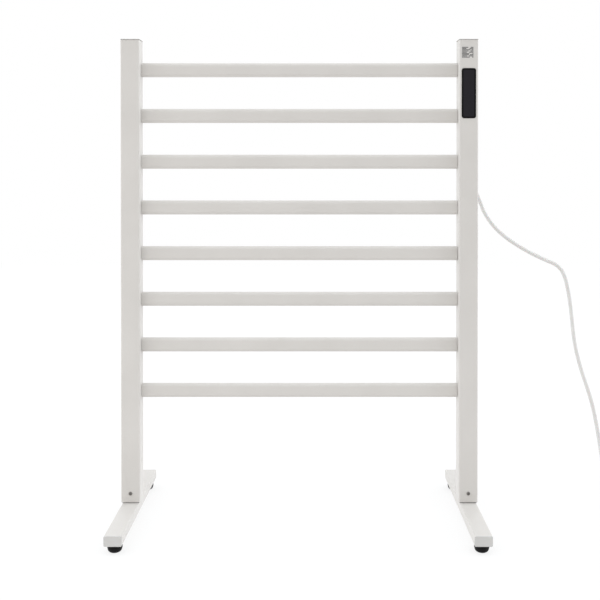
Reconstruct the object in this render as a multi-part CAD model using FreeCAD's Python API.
import FreeCAD, Part
import math
import os

# Free-standing electric towel warmer: eight flat bars between two square uprights on two feet.
# Millimetres. The origin is on the floor, midway between the uprights; +X is to the right,
# the control panel faces -Y, and +Z is up.

Vector = FreeCAD.Vector
X, Y, Z = 0, 1, 2

# Driving dimensions of the whole rack.
WIDTH = 600.0
DEPTH = 310.0
HEIGHT = 810.0

# Feet: a flat tube from front to back under each upright, on two screw-in rubber pads.
FOOT_WIDTH = 28.0
FOOT_THICKNESS = 16.0
FOOT_BOTTOM = 14.0
FOOT_CORNER = 2.0
TUBE_WALL = 1.5
FOOT_CAP_PLATE = 1.5
FOOT_CAP_PLUG = 8.0
PAD_INSET = 18.0
PAD_RADIUS = 11.7
PAD_SOLE_RADIUS = 6.5
PAD_BOWL_HEIGHT = 6.5
PAD_SWELL = (10.2, 2.2)
PAD_LIP = 0.6
PAD_GAP = 0.3
STUD_RADIUS = 2.9
STUD_PLATE_RADIUS = 6.5
STUD_BOTTOM = 6.0
STUD_PLATE = 2.0
STUD_TOP = 22.0
INSERT_BORE = 3.0
INSERT_RADIUS = 4.4
INSERT_FLANGE_RADIUS = 5.5
INSERT_FLANGE = 0.8
INSERT_TOP = 24.0

# Uprights: square tube with a plastic cap, held to the foot by a spigot.
POST = 32.0
POST_CORNER = 2.5
SHADOW_GAP = 1.3
CAP_PLATE = 1.8
CAP_OVERHANG = 0.4
CAP_GROOVE = 0.9
CAP_GROOVE_DEPTH = 1.0
CAP_SKIRT = 8.0
SPIGOT_CLEARANCE = 0.2
SPIGOT_BASE = 8.0
SPIGOT_HEIGHT = 48.0
SPIGOT_WALL = 2.2
CAP_SKIRT_WALL = 2.0
CAP_EDGE = 0.6
POST_SCREW_HEIGHT = 46.3
POST_SCREW_HEAD = 3.0
POST_SCREW_HEAD_HEIGHT = 1.8
POST_SCREW_RADIUS = 1.5
POST_SCREW_LENGTH = 7.0
BOLT_SPACING = 18.0
BOLT_RADIUS = 2.4
BOLT_HEAD_RADIUS = 4.2
BOLT_HEAD = 5.0
BOLT_SOCKET_RADIUS = 2.0
BOLT_ACCESS_RADIUS = 6.0

# Bars: flat oval tube, whose narrower necks are let into the inner walls of the uprights.
BAR_COUNT = 8
TOP_BAR_HEIGHT = 759.7
BAR_PITCH = 77.7
BAR_Y = 5.0
BAR_TALL = 24.0
BAR_DEEP = 12.0
BAR_CORNER = 5.9
BAR_WALL = 1.6
BAR_NECK_INSET = 0.8
LEFT_BAR_GAP = 0.2
RIGHT_BAR_GAP = 0.7
BAR_ENTRY = 4.0
FIT = 0.1

# Control panel in the front of the right upright.
PANEL_HEIGHT = 719.0
PANEL_WIDE = 24.0
PANEL_TALL = 84.0
PANEL_CORNER = 4.0
PANEL_PROUD = 0.8
RIM = 2.6
SKIRT_WALL = 1.0
CUTOUT_CLEARANCE = 0.2
HOUSING_BACK = -3.5
HOUSING_WALL = 1.2
BOARD_THICKNESS = 1.3
LABEL_LOW = 777.0
LABEL_HIGH = 799.0
LABEL_WIDE = 22.0
LABEL_OFFSET = -2.0
LABEL_THICKNESS = 0.12

# Inside the right upright, behind the panel and down to the inlet.
BOARD_FRONT = -12.2
BOARD_CLEARANCE = 0.2
DISPLAY_RAISED = 18.0
DISPLAY_WIDE = 14.0
DISPLAY_TALL = 28.0
RELAY_HALF_WIDE = 6.0
RELAY_RAISED = 2.0
RELAY_TALL = 18.0
LUG_HALF_WIDE = 4.0
LUG_THICKNESS = 3.0
LUG_REACH = 1.5
WIRE_HOLE_BOTTOM = 694.0
WIRE_HOLE_TOP = 712.0
EARTH_POINT = (278.5, 700.0)
EARTH_SCREW_RADIUS = 1.5
EARTH_HEAD_RADIUS = 3.0
EARTH_HEAD = 2.0
EARTH_RING_RADIUS = 4.2
EARTH_RING = 0.8
TERMINAL_LOW = (275.5, 7.0, 640.0)
TERMINAL_HIGH = (292.5, 14.4, 656.0)
CUTOUT_RADIUS = 2.6
CUTOUT_LOW = (293.5, 9.0, 716.0)
CUTOUT_HIGH = (293.5, 9.0, 730.0)
WIRE_RADIUS = 1.0
WIRE_BEND = 2.5
WIRE_SPACING = 2.6
BOARD_WIRE_X = (288.6, 291.2)
HEATING_CABLE_RADIUS = 1.8
HEATING_BEND = 5.6
LEAD_Y = 9.0
RETURN_LEAD_X = 274.2
TURN_X = 286.0
SMALL_CORNER = 0.8

# Mains inlet in the back of the right upright, and the free mains cord.
CORD_DIAMETER = 6.8
INLET_HEIGHT = 600.0
INLET_NECK = 5.0
INLET_NECK_END = 4.5
INLET_FLANGE = 7.5
INLET_FLANGE_THICKNESS = 2.5
RELIEF_LENGTH = 30.0
RELIEF_ROOT_RADIUS = 5.6
RELIEF_TIP_RADIUS = 4.0
GLAND_NUT_THICKNESS = 3.5
COIL_CENTRE = (592.0, 0.0)
COIL_OUTER_TURN = 44.0
COIL_INNER_TURN = 30.0
COIL_CROSSING_HEIGHT = 10.4
COIL_GAP = 0.2
TIE_HALF_WIDTH = 5.0
TIE_GAP = 1.0
TIE_WALL = 0.8
PLUG_RADIUS = 19.0
PLUG_REAR = -26.0
PLUG_BOOT = 22.0
PLUG_BODY = 34.0
PIN_RADIUS = 2.4
PIN_LENGTH = 19.0
PIN_SPACING = 19.0

# Worked out from the above.
POST_X = (WIDTH - POST) / 2
FOOT_TOP = FOOT_BOTTOM + FOOT_THICKNESS
POST_BOTTOM = FOOT_TOP + SHADOW_GAP
POST_TOP = HEIGHT - CAP_PLATE
POST_FACE = POST / 2
POST_INSIDE = POST_FACE - TUBE_WALL
INNER_FACE = POST_X - POST_FACE
BAR_END = INNER_FACE + BAR_ENTRY
PAD_Y = DEPTH / 2 - PAD_INSET
BAR_HEIGHTS = [TOP_BAR_HEIGHT - BAR_PITCH * index for index in range(BAR_COUNT)]
RELIEF_TIP_Y = POST_FACE + RELIEF_LENGTH
CORD_RADIUS = CORD_DIAMETER / 2
BOARD_BACK = BOARD_FRONT + BOARD_THICKNESS

# The cord's route, from the strain relief's tip: back and down behind the upright, out to the
# right, down to the floor and into the coil.
CORD_ROUTE = [
    (POST_X, RELIEF_TIP_Y, INLET_HEIGHT),
    (284.0, 66.0, 600.0),
    (287.0, 88.0, 591.0),
    (298.0, 103.0, 576.0),
    (314.0, 108.0, 561.0),
    (324.0, 107.0, 538.0),
    (334.0, 102.0, 508.0),
    (359.0, 95.0, 476.0),
    (398.0, 87.0, 449.0),
    (434.0, 80.0, 431.0),
    (460.0, 75.5, 420.5),
    (470.5, 72.5, 402.0),
    (476.5, 69.0, 371.0),
    (480.0, 63.0, 330.0),
    (483.0, 58.0, 285.0),
    (494.0, 53.5, 238.0),
    (510.0, 49.0, 190.0),
    (519.0, 46.0, 145.0),
    (525.0, 44.0, 104.0),
    (529.5, 42.5, 72.0),
    (533.0, 41.2, 49.0),
    (541.0, 40.5, 28.0),
    (554.0, 41.0, 12.0),
    (571.0, 42.3, 4.2),
    (COIL_CENTRE[0], COIL_CENTRE[1] + COIL_OUTER_TURN, CORD_RADIUS),
]


def save(name, *solids):
    """Write one node; several solids make one group of separate pieces."""
    shape = solids[0] if len(solids) == 1 else Part.makeCompound(list(solids))
    for solid in shape.Solids:
        if not solid.isValid() or solid.Volume <= 0:
            raise ValueError("bad solid in " + name)
    shape.exportStep("parts/" + name + ".step")


def block(low, high, along=Z, corner=0.0):
    """A box between two corners; its four edges along one axis may be rounded."""
    low = Vector(*low)
    size = Vector(*high) - low
    solid = Part.makeBox(size.x, size.y, size.z, low)
    if corner == 0.0:
        return solid
    edges = []
    for edge in solid.Edges:
        run = edge.Vertexes[1].Point - edge.Vertexes[0].Point
        if abs(run[along]) > max(abs(run[axis]) for axis in (X, Y, Z) if axis != along):
            edges.append(edge)
    return solid.makeFillet(corner, edges)


def plate(centre_x, centre_z, wide, tall, front, back, corner):
    """A rounded plate that faces -Y, between two depths."""
    low = (centre_x - wide / 2, front, centre_z - tall / 2)
    high = (centre_x + wide / 2, back, centre_z + tall / 2)
    return block(low, high, Y, corner)


def square_prism(centre_x, half, bottom, top, corner):
    """A square prism that stands on the upright's own axis."""
    return block((centre_x - half, -half, bottom), (centre_x + half, half, top), Z, corner)


def rod(radius, start, end):
    """A round rod between two points."""
    start = Vector(*start)
    run = Vector(*end) - start
    return Part.makeCylinder(radius, run.Length, start, run)


def turned(profile, centre, axis=Vector(0, 0, 1)):
    """Turn an outline of (radius, height) points round an axis through centre."""
    points = [Vector(radius, 0, height) for radius, height in profile]
    outline = Part.makePolygon(points + [points[0]])
    solid = Part.Face(outline).revolve(Vector(0, 0, 0), Vector(0, 0, 1), 360)
    solid.Placement = FreeCAD.Placement(Vector(*centre), FreeCAD.Rotation(Vector(0, 0, 1), axis))
    return solid


def full_bend(before, corner, after):
    """The largest bend that leaves a short straight on both runs."""
    shorter = min((corner - before).Length, (after - corner).Length)
    half_turn = (corner - before).getAngle(after - corner) / 2
    return 0.45 * shorter / math.tan(half_turn)


def bent_tube(radius, route, bend=None, report=None):
    """A round tube along straight runs joined by tangent arcs."""
    points = [Vector(*point) for point in route]
    edges = []
    start = points[0]
    for before, corner, after in zip(points, points[1:], points[2:]):
        arriving = (corner - before).normalize()
        leaving = (after - corner).normalize()
        half_turn = arriving.getAngle(leaving) / 2
        arc_radius = bend or full_bend(before, corner, after)
        trim = arc_radius * math.tan(half_turn)
        inward = (leaving - arriving).normalize()
        middle = corner + inward * (arc_radius / math.cos(half_turn) - arc_radius)
        arc_start = corner - arriving * trim
        arc_end = corner + leaving * trim
        edges.append(Part.LineSegment(start, arc_start).toShape())
        edges.append(Part.Arc(arc_start, middle, arc_end).toShape())
        start = arc_end
        if report:
            print(report, "bend radius", round(arc_radius, 1))
    edges.append(Part.LineSegment(start, points[-1]).toShape())
    path = Part.Wire(edges)
    section = Part.Wire(Part.makeCircle(radius, points[0], points[1] - points[0]))
    tube = path.makePipeShell([section], True, False)
    expected = math.pi * radius ** 2 * path.Length
    if abs(tube.Volume / expected - 1) > 0.01:
        raise ValueError("a tube's volume does not match its section and length")
    if report:
        print(report, "length", round(path.Length, 1))
    return Part.Solid(tube)


def bar_slots(side):
    """The cutters for the eight slots in an upright's inner wall."""
    left, right = sorted((side * (INNER_FACE - 1), side * (INNER_FACE + TUBE_WALL + 1)))
    return [bar_length(left, right, height, BAR_NECK_INSET - FIT) for height in BAR_HEIGHTS]


def upright(side):
    """A square tube with the bar slots and the screw hole; the right one also holds the controls."""
    centre = side * POST_X
    outside = square_prism(centre, POST_FACE, POST_BOTTOM, POST_TOP, POST_CORNER)
    inside = square_prism(centre, POST_INSIDE, POST_BOTTOM, POST_TOP, POST_CORNER - TUBE_WALL)
    cutters = [inside] + bar_slots(side)
    screw_hole = POST_SCREW_RADIUS + 2 * FIT
    cutters.append(rod(screw_hole, (centre, -POST, POST_SCREW_HEIGHT), (centre, 0, POST_SCREW_HEIGHT)))
    if side > 0:
        opening = PANEL_WIDE - 2 * RIM + 2 * SKIRT_WALL + 2 * CUTOUT_CLEARANCE
        tall = opening + PANEL_TALL - PANEL_WIDE
        cutters.append(plate(centre, PANEL_HEIGHT, opening, tall, -POST, 0, PANEL_CORNER - 1))
        cutters.append(rod(INLET_NECK + FIT, (centre, 0, INLET_HEIGHT), (centre, POST, INLET_HEIGHT)))
        earth_x, earth_z = EARTH_POINT
        cutters.append(rod(EARTH_SCREW_RADIUS + FIT, (earth_x, 0, earth_z), (earth_x, POST, earth_z)))
    return outside.cut(cutters)


def post_cap(side):
    """A plastic cap: a plate above a fine groove, with a hollow skirt inside the tube."""
    centre = side * POST_X
    cap = square_prism(centre, POST_FACE + CAP_OVERHANG, POST_TOP + CAP_GROOVE, HEIGHT, POST_CORNER)
    rim = [edge for edge in cap.Edges if min(vertex.Z for vertex in edge.Vertexes) > HEIGHT - FIT]
    cap = cap.makeFillet(CAP_EDGE, rim)
    half = POST_INSIDE - SPIGOT_CLEARANCE
    skirt = square_prism(centre, half, POST_TOP - CAP_SKIRT, POST_TOP, SMALL_CORNER)
    hollow = square_prism(centre, half - CAP_SKIRT_WALL, POST_TOP - CAP_SKIRT, POST_TOP, SMALL_CORNER)
    neck = square_prism(centre, POST_FACE - CAP_GROOVE_DEPTH, POST_TOP, POST_TOP + CAP_GROOVE, POST_CORNER / 2)
    return cap.fuse([neck, skirt.cut(hollow)]).removeSplitter()


def bar_length(left, right, height, inset):
    """A length of the bar's flat oval, drawn in by an inset all round."""
    deep = BAR_DEEP / 2 - inset
    tall = BAR_TALL / 2 - inset
    low = (left, BAR_Y - deep, height - tall)
    high = (right, BAR_Y + deep, height + tall)
    return block(low, high, X, BAR_CORNER - inset)


def bar(height):
    """One flat heated bar on a narrower neck, which shows as a fine gap at each upright."""
    body = bar_length(LEFT_BAR_GAP - INNER_FACE, INNER_FACE - RIGHT_BAR_GAP, height, 0.0)
    neck = bar_length(-BAR_END, BAR_END, height, BAR_NECK_INSET)
    bore = bar_length(-BAR_END, BAR_END, height, BAR_WALL)
    return body.fuse(neck).cut(bore)


def foot_tube(side):
    """The flat tube of one foot, with its bolt, access and pad-insert holes."""
    centre = side * POST_X
    end = DEPTH / 2 - FOOT_CAP_PLATE
    half = FOOT_WIDTH / 2
    outside = block((centre - half, -end, FOOT_BOTTOM), (centre + half, end, FOOT_TOP), Y, FOOT_CORNER)
    inside = block((centre - half + TUBE_WALL, -end, FOOT_BOTTOM + TUBE_WALL),
                   (centre + half - TUBE_WALL, end, FOOT_TOP - TUBE_WALL), Y, FOOT_CORNER - TUBE_WALL)
    cutters = [inside]
    middle = FOOT_BOTTOM + FOOT_THICKNESS / 2
    for place in (-BOLT_SPACING / 2, BOLT_SPACING / 2):
        cutters.append(rod(BOLT_RADIUS + 2 * FIT, (centre, place, middle), (centre, place, FOOT_TOP + 1)))
        cutters.append(rod(BOLT_ACCESS_RADIUS, (centre, place, FOOT_BOTTOM - 1), (centre, place, middle)))
    for place in (-PAD_Y, PAD_Y):
        cutters.append(rod(INSERT_RADIUS + FIT, (centre, place, FOOT_BOTTOM - 1), (centre, place, middle)))
    return outside.cut(cutters)


def foot_cap(side, end):
    """A plastic plug in one end of a foot tube."""
    centre = side * POST_X
    half = FOOT_WIDTH / 2
    tube_end = DEPTH / 2 - FOOT_CAP_PLATE
    near, far = sorted((end * tube_end, end * DEPTH / 2))
    cover = block((centre - half, near, FOOT_BOTTOM), (centre + half, far, FOOT_TOP), Y, FOOT_CORNER)
    outer_rim = [edge for edge in cover.Edges
                 if min(abs(vertex.Y) for vertex in edge.Vertexes) > DEPTH / 2 - FIT]
    cover = cover.makeFillet(CAP_EDGE, outer_rim)
    inset = TUBE_WALL + SPIGOT_CLEARANCE
    near, far = sorted((end * tube_end, end * (tube_end - FOOT_CAP_PLUG)))
    plug = block((centre - half + inset, near, FOOT_BOTTOM + inset),
                 (centre + half - inset, far, FOOT_TOP - inset), Y, SMALL_CORNER)
    return cover.fuse(plug).removeSplitter()


def spigot(side):
    """The connector that stands on the foot inside an upright; its narrow base shows as a gap."""
    centre = side * POST_X
    half = POST_INSIDE - SPIGOT_CLEARANCE
    body = square_prism(centre, half, FOOT_TOP, FOOT_TOP + SPIGOT_HEIGHT, SMALL_CORNER)
    hollow = square_prism(centre, half - SPIGOT_WALL, FOOT_TOP + SPIGOT_BASE, FOOT_TOP + SPIGOT_HEIGHT,
                          SMALL_CORNER)
    cutters = [hollow]
    for place in (-BOLT_SPACING / 2, BOLT_SPACING / 2):
        top = FOOT_TOP + SPIGOT_BASE + 1
        cutters.append(rod(BOLT_RADIUS + FIT, (centre, place, FOOT_TOP - 1), (centre, place, top)))
    hole = POST_SCREW_RADIUS + FIT
    cutters.append(rod(hole, (centre, -POST, POST_SCREW_HEIGHT), (centre, 0, POST_SCREW_HEIGHT)))
    return body.cut(cutters)


def post_screw(side):
    """The screw through an upright's front into the spigot."""
    profile = [(0, 0), (POST_SCREW_HEAD, 0), (POST_SCREW_HEAD, 0.8), (2.5, 1.4),
               (1.6, POST_SCREW_HEAD_HEIGHT), (0, POST_SCREW_HEAD_HEIGHT)]
    head = turned(profile, (side * POST_X, -POST_FACE, POST_SCREW_HEIGHT), Vector(0, -1, 0))
    shank = rod(POST_SCREW_RADIUS, (side * POST_X, -POST_FACE, POST_SCREW_HEIGHT),
                (side * POST_X, POST_SCREW_LENGTH - POST_FACE, POST_SCREW_HEIGHT))
    return head.fuse(shank)


def spigot_bolt(side, place):
    """A socket bolt up through the foot tube's top wall into a spigot."""
    seat = FOOT_TOP - TUBE_WALL
    head = rod(BOLT_HEAD_RADIUS, (side * POST_X, place, seat - BOLT_HEAD), (side * POST_X, place, seat))
    socket = rod(BOLT_SOCKET_RADIUS, (side * POST_X, place, seat - BOLT_HEAD),
                 (side * POST_X, place, seat - BOLT_HEAD / 2))
    shank = rod(BOLT_RADIUS, (side * POST_X, place, seat), (side * POST_X, place, FOOT_TOP + SPIGOT_BASE))
    return head.cut(socket).fuse(shank)


def foot_insert(side, end):
    """A rivet nut in the bottom wall of a foot tube, which a pad's stud screws into."""
    centre = (side * POST_X, end * PAD_Y)
    flange_low = FOOT_BOTTOM - INSERT_FLANGE
    profile = [(INSERT_BORE, flange_low), (INSERT_FLANGE_RADIUS, flange_low),
               (INSERT_FLANGE_RADIUS, FOOT_BOTTOM), (INSERT_RADIUS, FOOT_BOTTOM),
               (INSERT_RADIUS, INSERT_TOP), (INSERT_BORE, INSERT_TOP)]
    return turned(profile, (centre[0], centre[1], 0))


def foot_stud(side, end):
    """A pad's threaded stud, with the plate that the rubber is moulded round."""
    profile = [(0, STUD_BOTTOM), (STUD_PLATE_RADIUS, STUD_BOTTOM),
               (STUD_PLATE_RADIUS, STUD_BOTTOM + STUD_PLATE), (STUD_RADIUS, STUD_BOTTOM + STUD_PLATE),
               (STUD_RADIUS, STUD_TOP - 0.8), (STUD_RADIUS - 0.8, STUD_TOP), (0, STUD_TOP)]
    return turned(profile, (side * POST_X, end * PAD_Y, 0))


def foot_pad(side, end):
    """A bowl-shaped rubber pad; its top is recessed for the insert's flange."""
    top = FOOT_BOTTOM - PAD_GAP
    recess = top - INSERT_FLANGE
    sole = Vector(PAD_SOLE_RADIUS, 0, 0)
    shoulder = Vector(PAD_RADIUS, 0, PAD_BOWL_HEIGHT)
    swell = Vector(PAD_SWELL[0], 0, PAD_SWELL[1])
    edges = [Part.LineSegment(Vector(0, 0, 0), sole).toShape(), Part.Arc(sole, swell, shoulder).toShape()]
    corners = [shoulder, Vector(PAD_RADIUS, 0, top - PAD_LIP), Vector(PAD_RADIUS - PAD_LIP, 0, top),
               Vector(STUD_PLATE_RADIUS, 0, top), Vector(STUD_PLATE_RADIUS, 0, recess),
               Vector(0, 0, recess), Vector(0, 0, 0)]
    for start, finish in zip(corners, corners[1:]):
        edges.append(Part.LineSegment(start, finish).toShape())
    pad = Part.Face(Part.Wire(edges)).revolve(Vector(0, 0, 0), Vector(0, 0, 1), 360)
    pad.translate(Vector(side * POST_X, end * PAD_Y, 0))
    return pad.cut(foot_stud(side, end))


def build_frame():
    """Uprights, caps, bars, feet and everything that fastens them."""
    for index, height in enumerate(BAR_HEIGHTS):
        save("bar_%d" % (index + 1), bar(height))
    bolts = []
    inserts = []
    for side, side_name in ((-1, "left"), (1, "right")):
        save(side_name + "_upright", upright(side))
        save(side_name + "_top_cap", post_cap(side))
        save(side_name + "_foot_tube", foot_tube(side))
        save(side_name + "_spigot", spigot(side))
        save(side_name + "_upright_screw", post_screw(side))
        bolts += [spigot_bolt(side, place) for place in (-BOLT_SPACING / 2, BOLT_SPACING / 2)]
        for end, end_name in ((-1, "front"), (1, "rear")):
            place_name = end_name + "_" + side_name
            save(place_name + "_foot_cap", foot_cap(side, end))
            save(place_name + "_foot_stud", foot_stud(side, end))
            save(place_name + "_foot_pad", foot_pad(side, end))
            inserts.append(foot_insert(side, end))
    save("spigot_bolts", *bolts)
    save("foot_inserts", *inserts)


def build_controls():
    """The bezel, the lens and the electronics in the housing behind them."""
    front = -POST_FACE - PANEL_PROUD
    window_wide = PANEL_WIDE - 2 * RIM
    window_tall = PANEL_TALL - 2 * RIM
    skirt_back = -POST_INSIDE + 0.3
    window = plate(POST_X, PANEL_HEIGHT, window_wide, window_tall, front, skirt_back, PANEL_CORNER - 2)
    flange = plate(POST_X, PANEL_HEIGHT, PANEL_WIDE, PANEL_TALL, front, -POST_FACE, PANEL_CORNER)
    rim = [edge for edge in flange.Edges if max(vertex.Y for vertex in edge.Vertexes) < front + FIT]
    flange = flange.makeFillet(0.4, rim)
    skirt = plate(POST_X, PANEL_HEIGHT, window_wide + 2 * SKIRT_WALL, window_tall + 2 * SKIRT_WALL,
                  -POST_FACE, skirt_back, PANEL_CORNER - 1)
    save("control_bezel", flange.fuse(skirt).cut(window))
    save("touch_lens", plate(POST_X, PANEL_HEIGHT, window_wide - 2 * FIT, window_tall - 2 * FIT,
                             front + 0.2, -POST_INSIDE - 0.3, PANEL_CORNER - 2 - FIT))

    wide = window_wide + 2 * SKIRT_WALL
    tall = window_tall + 2 * SKIRT_WALL
    tray = plate(POST_X, PANEL_HEIGHT, wide, tall, skirt_back, HOUSING_BACK, PANEL_CORNER - 1)
    lug_reach = tall / 2 + LUG_REACH
    lugs = block((POST_X - LUG_HALF_WIDE, skirt_back, PANEL_HEIGHT - lug_reach),
                 (POST_X + LUG_HALF_WIDE, skirt_back + LUG_THICKNESS, PANEL_HEIGHT + lug_reach))
    hollow = plate(POST_X, PANEL_HEIGHT, wide - 2 * HOUSING_WALL, tall - 2 * HOUSING_WALL,
                   skirt_back - 1, HOUSING_BACK - HOUSING_WALL, PANEL_CORNER - 2)
    wire_hole = block((BOARD_WIRE_X[0] - 2, HOUSING_BACK - 2, WIRE_HOLE_BOTTOM),
                      (BOARD_WIRE_X[1] + 2, HOUSING_BACK + 1, WIRE_HOLE_TOP))
    save("control_housing", tray.fuse(lugs).cut([hollow, wire_hole]))

    board_inset = 2 * (HOUSING_WALL + BOARD_CLEARANCE)
    save("circuit_board", plate(POST_X, PANEL_HEIGHT, wide - board_inset, tall - board_inset,
                                BOARD_FRONT, BOARD_BACK, PANEL_CORNER - 2.2))
    save("display_module", plate(POST_X, PANEL_HEIGHT + DISPLAY_RAISED, DISPLAY_WIDE, DISPLAY_TALL,
                                 BOARD_CLEARANCE - POST_INSIDE, BOARD_FRONT, SMALL_CORNER))
    relay_low = PANEL_HEIGHT + RELAY_RAISED
    save("relay", block((POST_X - RELAY_HALF_WIDE, BOARD_BACK, relay_low),
                        (POST_X + RELAY_HALF_WIDE, HOUSING_BACK - HOUSING_WALL - 0.3, relay_low + RELAY_TALL),
                        Y, SMALL_CORNER))


def build_wiring():
    """The heating cable through all the bars, and the wiring at its two ends."""
    middle_x = (TERMINAL_LOW[0] + TERMINAL_HIGH[0]) / 2
    route = [(middle_x, LEAD_Y, TERMINAL_HIGH[2]), (middle_x, LEAD_Y, 742.0)]
    for index, height in enumerate(BAR_HEIGHTS):
        right_end = (281.0 if index == 0 else TURN_X, BAR_Y, height)
        left_end = (-TURN_X, BAR_Y, height)
        route += [right_end, left_end] if index % 2 == 0 else [left_end, right_end]
    route[-1] = (279.0, BAR_Y, BAR_HEIGHTS[-1])
    route += [(RETURN_LEAD_X, LEAD_Y, 234.0), (RETURN_LEAD_X, LEAD_Y, 614.0),
              (278.0, LEAD_Y, 628.0), (278.0, LEAD_Y, TERMINAL_LOW[2])]
    save("heating_cable", bent_tube(HEATING_CABLE_RADIUS, route, HEATING_BEND))

    save("terminal_block", block(TERMINAL_LOW, TERMINAL_HIGH, Y, 1.0))
    save("thermal_cutout", rod(CUTOUT_RADIUS, CUTOUT_LOW, CUTOUT_HIGH))
    earth_x, earth_z = EARTH_POINT
    head_seat = POST_INSIDE - EARTH_RING
    screw = rod(EARTH_HEAD_RADIUS, (earth_x, head_seat - EARTH_HEAD, earth_z), (earth_x, head_seat, earth_z))
    screw = screw.fuse(rod(EARTH_SCREW_RADIUS, (earth_x, head_seat, earth_z), (earth_x, POST_FACE, earth_z)))
    save("earth_screw", screw)

    wires = []
    neck_end = POST_INSIDE - INLET_NECK_END
    for offset in (-WIRE_SPACING, 0.0, WIRE_SPACING):
        x = POST_X + offset
        wires.append(bent_tube(WIRE_RADIUS, [(x, neck_end, INLET_HEIGHT), (x, 8.2, 606.0),
                                             (x, 8.5, 628.0), (x, 8.5, TERMINAL_LOW[2])], WIRE_BEND))
    for x in BOARD_WIRE_X:
        wires.append(bent_tube(WIRE_RADIUS, [(x, 8.0, TERMINAL_HIGH[2]), (x, 8.0, 698.0),
                                             (x, BOARD_BACK, 703.0)], WIRE_BEND))
    ring = rod(EARTH_RING_RADIUS, (earth_x, head_seat, earth_z), (earth_x, POST_INSIDE, earth_z))
    ring = ring.cut(rod(EARTH_SCREW_RADIUS + FIT, (earth_x, 0, earth_z), (earth_x, POST, earth_z)))
    lead = bent_tube(WIRE_RADIUS, [(earth_x, LEAD_Y, TERMINAL_HIGH[2]), (earth_x, LEAD_Y, 676.0),
                                   (earth_x, POST_INSIDE - 1, 688.0), (earth_x, POST_INSIDE - 1, 696.6)],
                     WIRE_BEND)
    wires.append(lead.fuse(ring))
    save("internal_wiring", *wires)


def build_inlet():
    """The strain relief, its nut inside the upright, and the label on the front."""
    centre = (POST_X, 0, INLET_HEIGHT)
    neck_end = POST_INSIDE - INLET_NECK_END
    profile = [(0, neck_end), (INLET_NECK, neck_end), (INLET_NECK, POST_FACE),
               (INLET_FLANGE, POST_FACE), (INLET_FLANGE, POST_FACE + INLET_FLANGE_THICKNESS),
               (RELIEF_ROOT_RADIUS, POST_FACE + INLET_FLANGE_THICKNESS),
               (RELIEF_TIP_RADIUS, RELIEF_TIP_Y), (0, RELIEF_TIP_Y)]
    save("strain_relief", turned(profile, centre, Vector(0, 1, 0)))
    nut = rod(INLET_FLANGE, (POST_X, POST_INSIDE - GLAND_NUT_THICKNESS, INLET_HEIGHT),
              (POST_X, POST_INSIDE, INLET_HEIGHT))
    bore = rod(INLET_NECK + FIT, (POST_X, 0, INLET_HEIGHT), (POST_X, POST_FACE, INLET_HEIGHT))
    save("gland_nut", nut.cut(bore))
    label_x = POST_X + LABEL_OFFSET
    save("rating_label", block((label_x - LABEL_WIDE / 2, -POST_FACE - LABEL_THICKNESS, LABEL_LOW),
                               (label_x + LABEL_WIDE / 2, -POST_FACE, LABEL_HIGH), Y, SMALL_CORNER))


def build_cord():
    """The free cord: a tube down to the floor, the coil it is put away in, its tie and its plug."""
    save("power_cord", bent_tube(CORD_RADIUS, CORD_ROUTE, report="cord"))
    x, y = COIL_CENTRE
    coil_top = CORD_DIAMETER + COIL_GAP
    outer = COIL_OUTER_TURN + CORD_RADIUS + COIL_GAP
    inner = COIL_INNER_TURN - CORD_RADIUS - COIL_GAP
    coil = rod(outer, (x, y, 0), (x, y, coil_top)).cut(rod(inner, (x, y, 0), (x, y, coil_top)))
    plug_x = x + COIL_OUTER_TURN
    last_turn = [(150, COIL_INNER_TURN, 4.5), (120, COIL_INNER_TURN + 0.5, 9.0),
                 (90, COIL_INNER_TURN + 1.5, COIL_CROSSING_HEIGHT), (60, 34.5, COIL_CROSSING_HEIGHT),
                 (30, 39.0, COIL_CROSSING_HEIGHT), (3, COIL_OUTER_TURN - 0.3, COIL_CROSSING_HEIGHT + 2)]
    tail = [(x + radius * math.cos(math.radians(angle)), y + radius * math.sin(math.radians(angle)), height)
            for angle, radius, height in last_turn]
    tail.append((plug_x, y + PLUG_REAR, PLUG_RADIUS))
    save("power_cord_coil", coil.fuse(bent_tube(CORD_RADIUS, tail)).removeSplitter())

    band = block((x - outer - TIE_GAP - TIE_WALL, y - TIE_HALF_WIDTH, 0),
                 (x - inner + TIE_GAP + TIE_WALL, y + TIE_HALF_WIDTH, coil_top + TIE_GAP + TIE_WALL), Y, 1.5)
    window = block((x - outer - TIE_GAP, y - TIE_HALF_WIDTH, -1),
                   (x - inner + TIE_GAP, y + TIE_HALF_WIDTH, coil_top + TIE_GAP))
    save("coil_tie", band.cut(window))

    rear = y + PLUG_REAR
    profile = [(0, 0), (CORD_RADIUS + 1.4, 0), (CORD_RADIUS + 4, PLUG_BOOT), (PLUG_RADIUS - 4, PLUG_BOOT + 6),
               (PLUG_RADIUS, PLUG_BOOT + 14), (PLUG_RADIUS, PLUG_BOOT + PLUG_BODY - 2),
               (PLUG_RADIUS - 2, PLUG_BOOT + PLUG_BODY), (0, PLUG_BOOT + PLUG_BODY)]
    save("plug_body", turned(profile, (plug_x, rear, PLUG_RADIUS), Vector(0, -1, 0)))
    face = rear - PLUG_BOOT - PLUG_BODY
    pins = []
    for offset in (-PIN_SPACING / 2, PIN_SPACING / 2):
        profile = [(0, 0), (PIN_RADIUS, 0), (PIN_RADIUS, PIN_LENGTH - 1.5), (PIN_RADIUS / 2, PIN_LENGTH),
                   (0, PIN_LENGTH)]
        pins.append(turned(profile, (plug_x + offset, face, PLUG_RADIUS), Vector(0, -1, 0)))
    save("plug_pins", *pins)


os.makedirs("parts", exist_ok=True)
build_frame()
build_controls()
build_wiring()
build_inlet()
build_cord()
